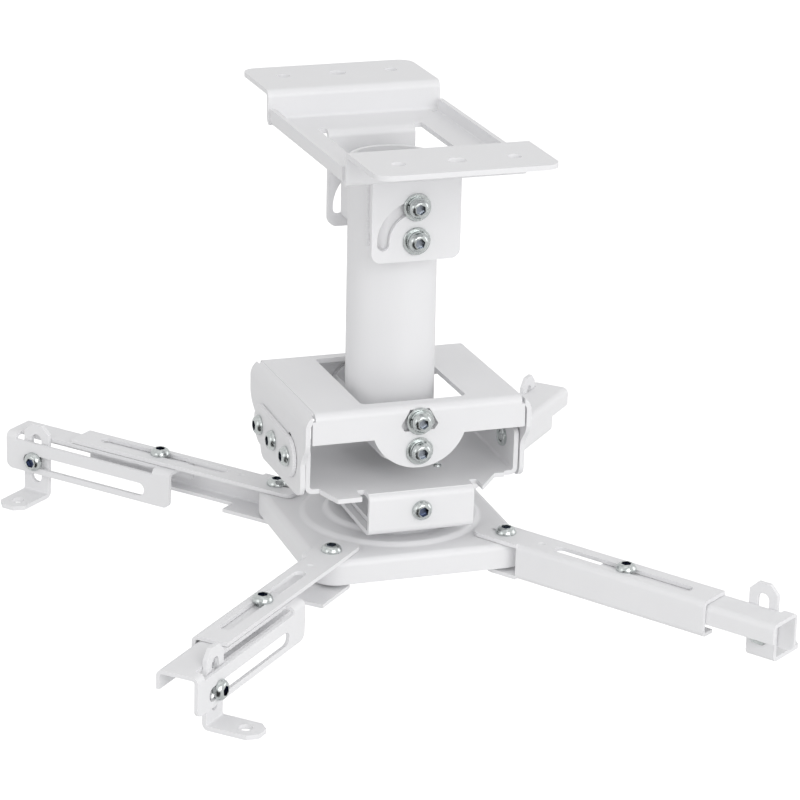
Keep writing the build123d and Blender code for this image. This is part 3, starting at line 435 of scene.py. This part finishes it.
def bead(length):
    rows = round(length / BEAD_RIPPLE * 4)
    rounds = [(BEAD_RADIUS + 0.25 * sin(pi * row / 4) ** 2, row * length / rows)
              for row in range(1, rows)]
    return turning([(0, 0)] + rounds + [(0, length)], 12)


for end, low, high in (("top", -62.0, -28.0), ("foot", -163.0, -146.0)):
    places = [Matrix.Translation(Vector((x, y, low)) * MM)
              for x in (-BEAD_X, BEAD_X) for y in (-BEAD_Y, BEAD_Y)]
    hang(set_of(bead(high - low), places), end + "_weld_beads", "tube", [coat], crease=60)

# Upper yoke
# One sheet folded down on four sides: side walls with long tabs for the tilt bolts, and
# front and back flanges with a round lobe for the roll bolts. Coated like the plate.
hang(pressed("upper_yoke"), "upper_yoke_pressing", "upper_yoke", [coat])

# Roll bolts, and the nuts behind them
# The same bolts and washers as above, through the lobe's hole and its arc opening.
# Eight plain nuts are welded inside the hat brackets, four at each end of the tube.
ROLL_BOLTS = (-159.5, -144.0)
LOBE_FACE = 47.0
NUT_BEHIND = 10.5
clamped_pair(LOBE_FACE, ROLL_BOLTS, "roll")
nut_places = [seat((0, side * (face - NUT_BEHIND), z), (0, side, 0), 30)
              for face, heights in ((EAR_FACE, CEILING_BOLTS), (LOBE_FACE, ROLL_BOLTS))
              for side in (-1, 1) for z in heights]
hang(set_of(hex_nut(NUT, 5.0), nut_places), "welded_nuts", "weld_nuts", [zinc])

# Lower yoke
# One sheet: two upright walls inside the upper yoke, a plate between them, and a tongue
# folded down at the front that carries the slotted tray. Powder coated white.
LIP_EDGE = -51.0
LIP_REACH = -3.0
LIP_FROM = 31
LIP_ABOVE = -180
TILT_AXIS = -164.0
TILT = (Matrix.Translation((0, 0, TILT_AXIS * MM)) @ Matrix.Rotation(radians(2.0), 4, "X")
        @ Matrix.Translation((0, 0, -TILT_AXIS * MM)))
bm = pressed("lower_yoke")
for corner in bm.verts:
    place = TILT.inverted() @ corner.co / MM
    if abs(place.y - LIP_EDGE) < 0.6 and abs(place.x) > LIP_FROM and place.z > LIP_ABOVE:
        corner.co += TILT.to_3x3() @ Vector((0, LIP_REACH * MM, 0))
hang(bm, "lower_yoke_pressing", "lower_yoke", [coat])

# Side plates and tilt bolts
# A flat steel stadium lies outside each side wall, under three button head screws that
# are threaded into the lower yoke. The middle one is the tilt axis.
TILT_BOLTS = (-22.5, 0, 22.5)
SIDE_PLATE_FACE = 61.2
side_screw = button_screw(9.6, 5.0)
for side, hand in ((-1, "left"), (1, "right")):
    hang(pressed("side_plate_" + hand), "side_plate_" + hand + "_pressing", "side_plate_" + hand,
         [coat])
    places = [TILT @ seat((side * SIDE_PLATE_FACE, y, TILT_AXIS), (side, 0, 0), 17 * y)
              for y in TILT_BOLTS]
    hang(set_of(side_screw, places), "tilt_screws_" + hand, "side_bolts_" + hand,
         [zinc, shaded_socket_zinc])

# Pressed nuts and a plate screw
# Round nuts pressed into the lower yoke's walls take the tilt bolts. One small screw with a
# round head sits in the plate beside the swivel.
YOKE_INNER_FACE = 53.5
pressed_nut = turning([(3.1, 0), (3.1, 1.5), (3.5, 1.9), (4.6, 1.9), (5.1, 1.4), (5.1, 0)])
for side, hand in ((-1, "left"), (1, "right")):
    places = [TILT @ seat((side * YOKE_INNER_FACE, y, TILT_AXIS), (-side, 0, 0)) for y in TILT_BOLTS]
    hang(set_of(pressed_nut, places), "pressed_nuts_" + hand, "side_bolts_" + hand, [zinc])
round_screw = turning([(0, 0.5), (0.7, 0.5), (0.9, 1.2), (1.4, 1.1), (1.9, 0.7), (2.1, 0.2), (2.1, 0)])
hang(set_of(round_screw, [TILT @ seat((18.6, -22.9, -176.8), (0, 0, 1))]), "plate_round_screw",
     "lower_yoke", [zinc])

# Slide plate and its lock
# A plate with a tab turned up behind the tongue hooks into the tray, so the projector
# comes off in one move. One button head screw through the tongue locks it.
LOCK_HEIGHT = -186.9
TONGUE_FACE = -53.5
LOCK_NUT_FACE = -43.2
hang(pressed("slide_plate"), "slide_plate_pressing", "slide_plate", [coat])
hang(set_of(button_screw(13.5, 8.0), [TILT @ seat((0, TONGUE_FACE, LOCK_HEIGHT), (0, -1, 0), 20)]),
     "lock_button_screw", "lock_screw", [zinc, blue_shaded_socket])
hang(set_of(hex_nut(NUT, 5.0), [TILT @ seat((0, LOCK_NUT_FACE, LOCK_HEIGHT), (0, -1, 0))]),
     "lock_hex_nut", "lock_nut", [zinc])

# Swivel
# A steel stud with a wide flat head under the hub, a turned spacer between the hub and
# the tray, and a large nut on the slide plate. The projector turns about it.
SWIVEL_Y = -5.5
STUD_RADIUS = 5.0
SWIVEL_NUT_SEAT = -193.6
on_swivel = TILT @ Matrix.Translation((0, SWIVEL_Y * MM, 0))
bm = bmesh.new()
turned(bm, [(0, -209.9), (9.6, -209.9), (10.0, -209.5), (10.0, -206.3), (9.6, -205.9),
            (STUD_RADIUS, -205.9), (STUD_RADIUS, -194.0), (4.3, -193.4), (4.3, -185.2), (3.7, -184.6),
            (0, -184.6)])
bmesh.ops.recalc_face_normals(bm, faces=bm.faces)
thread(bm, STUD_RADIUS, -193.4, 5.2, pitch=1.5)
bmesh.ops.transform(bm, matrix=on_swivel, verts=bm.verts)
hang(bm, "swivel_stud_turned", "swivel_stud", [zinc])
hang(set_of(hex_nut(17.0, 8.0, STUD_RADIUS), [on_swivel @ seat((0, 0, SWIVEL_NUT_SEAT), (0, 0, 1))]),
     "swivel_hex_nut", "swivel_nut", [zinc])
spacer = turning([(5.2, -202.4), (5.6, -202.8), (9.6, -202.8), (10.0, -202.4), (10.0, -196.5),
                  (9.6, -196.1), (5.6, -196.1), (5.2, -196.5), (5.2, -202.4)])
hang(set_of(spacer, [on_swivel]), "swivel_spacer_turned", "swivel_spacer", [zinc])

# Hub
# A square sheet with round corners, a skirt folded down all the way round and two raised
# rings pressed in its middle. Sleeves under its corners keep the arms' screws upright.
HUB_TOP = -207.1
HUB_SKIRT = 12.8
HUB_HALF = 55.5
HUB_CORNER = 12.0
HUB_BEND = 3.5
HUB_SHEET = 2.5
HUB_PIVOT = 46.0


def rounded_square(angle, half, corner):
    side = abs((angle + pi / 4) % (pi / 2) - pi / 4)
    middle = half - corner
    if half * tan(side) <= middle:
        return half / cos(side)
    along = middle * (cos(side) + sin(side))
    return along + sqrt(along ** 2 - 2 * middle ** 2 + corner ** 2)


bm = bmesh.new()
rings = [(5.3, 4.0), (30.6, 4.0), (31.6, 3.85), (32.4, 3.4), (33.3, 2.6), (34.1, 2.15),
         (35.0, 2.0), (42.6, 2.0), (43.6, 1.85), (44.4, 1.4), (45.3, 0.6), (46.1, 0.15), (47.0, 0.0)]
bend = [(HUB_HALF - HUB_BEND * (1 - sin(radians(turn))), -HUB_BEND * (1 - cos(radians(turn))))
        for turn in range(0, 91, 18)]
turned(bm, rings + bend + [(HUB_HALF, -HUB_SKIRT)], 256)
for corner in bm.verts:
    half = Vector(corner.co[:2]).length / MM
    if half > HUB_HALF - HUB_BEND - 0.1:
        angle = atan2(corner.co.y, corner.co.x)
        reach = rounded_square(angle, half, HUB_CORNER - HUB_HALF + half)
        corner.co.x, corner.co.y = reach * MM * cos(angle), reach * MM * sin(angle)
bmesh.ops.recalc_face_normals(bm, faces=bm.faces)
if sum(f.normal.z * f.calc_area() for f in bm.faces) < 0:
    bmesh.ops.reverse_faces(bm, faces=bm.faces)
bmesh.ops.transform(bm, matrix=on_swivel @ Matrix.Translation((0, 0, HUB_TOP * MM)), verts=bm.verts)
hub = hang(bm, "hub_pressing", "hub", [coat], modifiers=False)
gauge = hub.modifiers.new("sheet_thickness", "SOLIDIFY")
gauge.thickness = HUB_SHEET * MM
gauge.offset = -1
gauge.use_even_offset = True
soft = hub.modifiers.new("sheared_edge", "BEVEL")
soft.width = SHEARED_EDGE * MM
soft.segments = 2
soft.limit_method = "ANGLE"
soft.angle_limit = radians(40)
even = hub.modifiers.new("even_shading", "WEIGHTED_NORMAL")
even.keep_sharp = True
hang(pressed("hub_sleeves", 0.2), "hub_sleeve_turnings", "hub_sleeves", [zinc])

# Arms
# Four steel channels swing under the hub's corners, each on a long screw in a collar that
# is pressed into the channel's bottom. A slider and a leg are screwed to each channel.
PRESSED_COLLAR = [(3.1, -225.3), (4.4, -225.3), (4.8, -224.9), (4.8, -223.5), (3.1, -223.5),
                  (3.1, -225.3)]
ARM_TOP = -204.8
ARM_END = -3
ARM_TOP_SHEET = -210
ARM_END_REACH = -5.0
CLAMP_HEIGHT = -220.6
CLAMP_FACE = 14.9
CLAMP_NUT_BACK = 5.9
SEAT_GAP = 0.03
ARMS = {
    "left": {"corner": (-1, 1), "angle": 129.8, "reach": 72.9, "leg": 71.5},
    "front": {"corner": (-1, -1), "angle": -135.3, "reach": 71.5, "leg": 68.5},
    "right": {"corner": (1, -1), "angle": -55.5, "reach": 72.1, "leg": 72.5},
    "back": {"corner": (1, 1), "angle": 46.0, "reach": 61.5, "leg": 74.0},
}
collar = turning(PRESSED_COLLAR)
pivot_screw = button_screw(20.6, 6.0)
slot_screw = button_screw(6.8, 2.5)
clamp_screw = button_screw(10.0, 5.5)
clamp_nut = hex_nut(NUT, 4.0)
for turn, (arm, pose) in enumerate(ARMS.items()):
    pivot = Vector((HUB_PIVOT * pose["corner"][0], HUB_PIVOT * pose["corner"][1], 0))
    on_arm = (on_swivel @ Matrix.Translation(pivot * MM)
              @ Matrix.Rotation(radians(pose["angle"]), 4, "Z"))
    on_slider = on_arm @ Matrix.Translation((pose["reach"] * MM, 0, 0))
    on_leg = on_slider @ Matrix.Translation((pose["leg"] * MM, 0, 0))
    bm = pressed("arm_" + arm)
    for corner in bm.verts:
        place = on_arm.inverted() @ corner.co / MM
        if place.x < ARM_END and place.z > ARM_TOP_SHEET:
            corner.co += on_arm.to_3x3() @ Vector((ARM_END_REACH * MM, 0, 0))
    hang(bm, "arm_" + arm + "_channel", "arm_" + arm, [coat])
    hang(set_of(pivot_screw, [on_arm @ seat((0, 0, ARM_TOP), (0, 0, 1), 15 + 20 * turn)]),
         "pivot_button_screw_" + arm, "pivot_screw_" + arm, [zinc, shaded_socket_zinc])
    hang(set_of(collar, [on_arm]), "pivot_press_nut_" + arm, "pivot_nut_" + arm, [coat])
    hang(pressed("slider_" + arm), "slider_" + arm + "_channel", "slider_" + arm, [coat])
    hang(set_of(slot_screw, [on_slider @ seat((0, 0, ARM_TOP + SEAT_GAP), (0, 0, 1), 25 * turn)]),
         "slot_button_screw_" + arm, "slot_screw_" + arm, [zinc, blue_shaded_socket])
    hang(pressed("leg_" + arm), "leg_" + arm + "_strip", "leg_" + arm, [coat])
    under_head = (0, CLAMP_FACE + SEAT_GAP, CLAMP_HEIGHT)
    hang(set_of(clamp_screw, [on_leg @ seat(under_head, (0, 1, 0), 35 * turn)]),
         "clamp_button_screw_" + arm, "clamp_screw_" + arm, [zinc, blue_shaded_socket])
    hang(set_of(clamp_nut, [on_leg @ seat((0, CLAMP_NUT_BACK - SEAT_GAP, CLAMP_HEIGHT), (0, 1, 0))]),
         "clamp_hex_nut_" + arm, "clamp_nut_" + arm, [zinc])
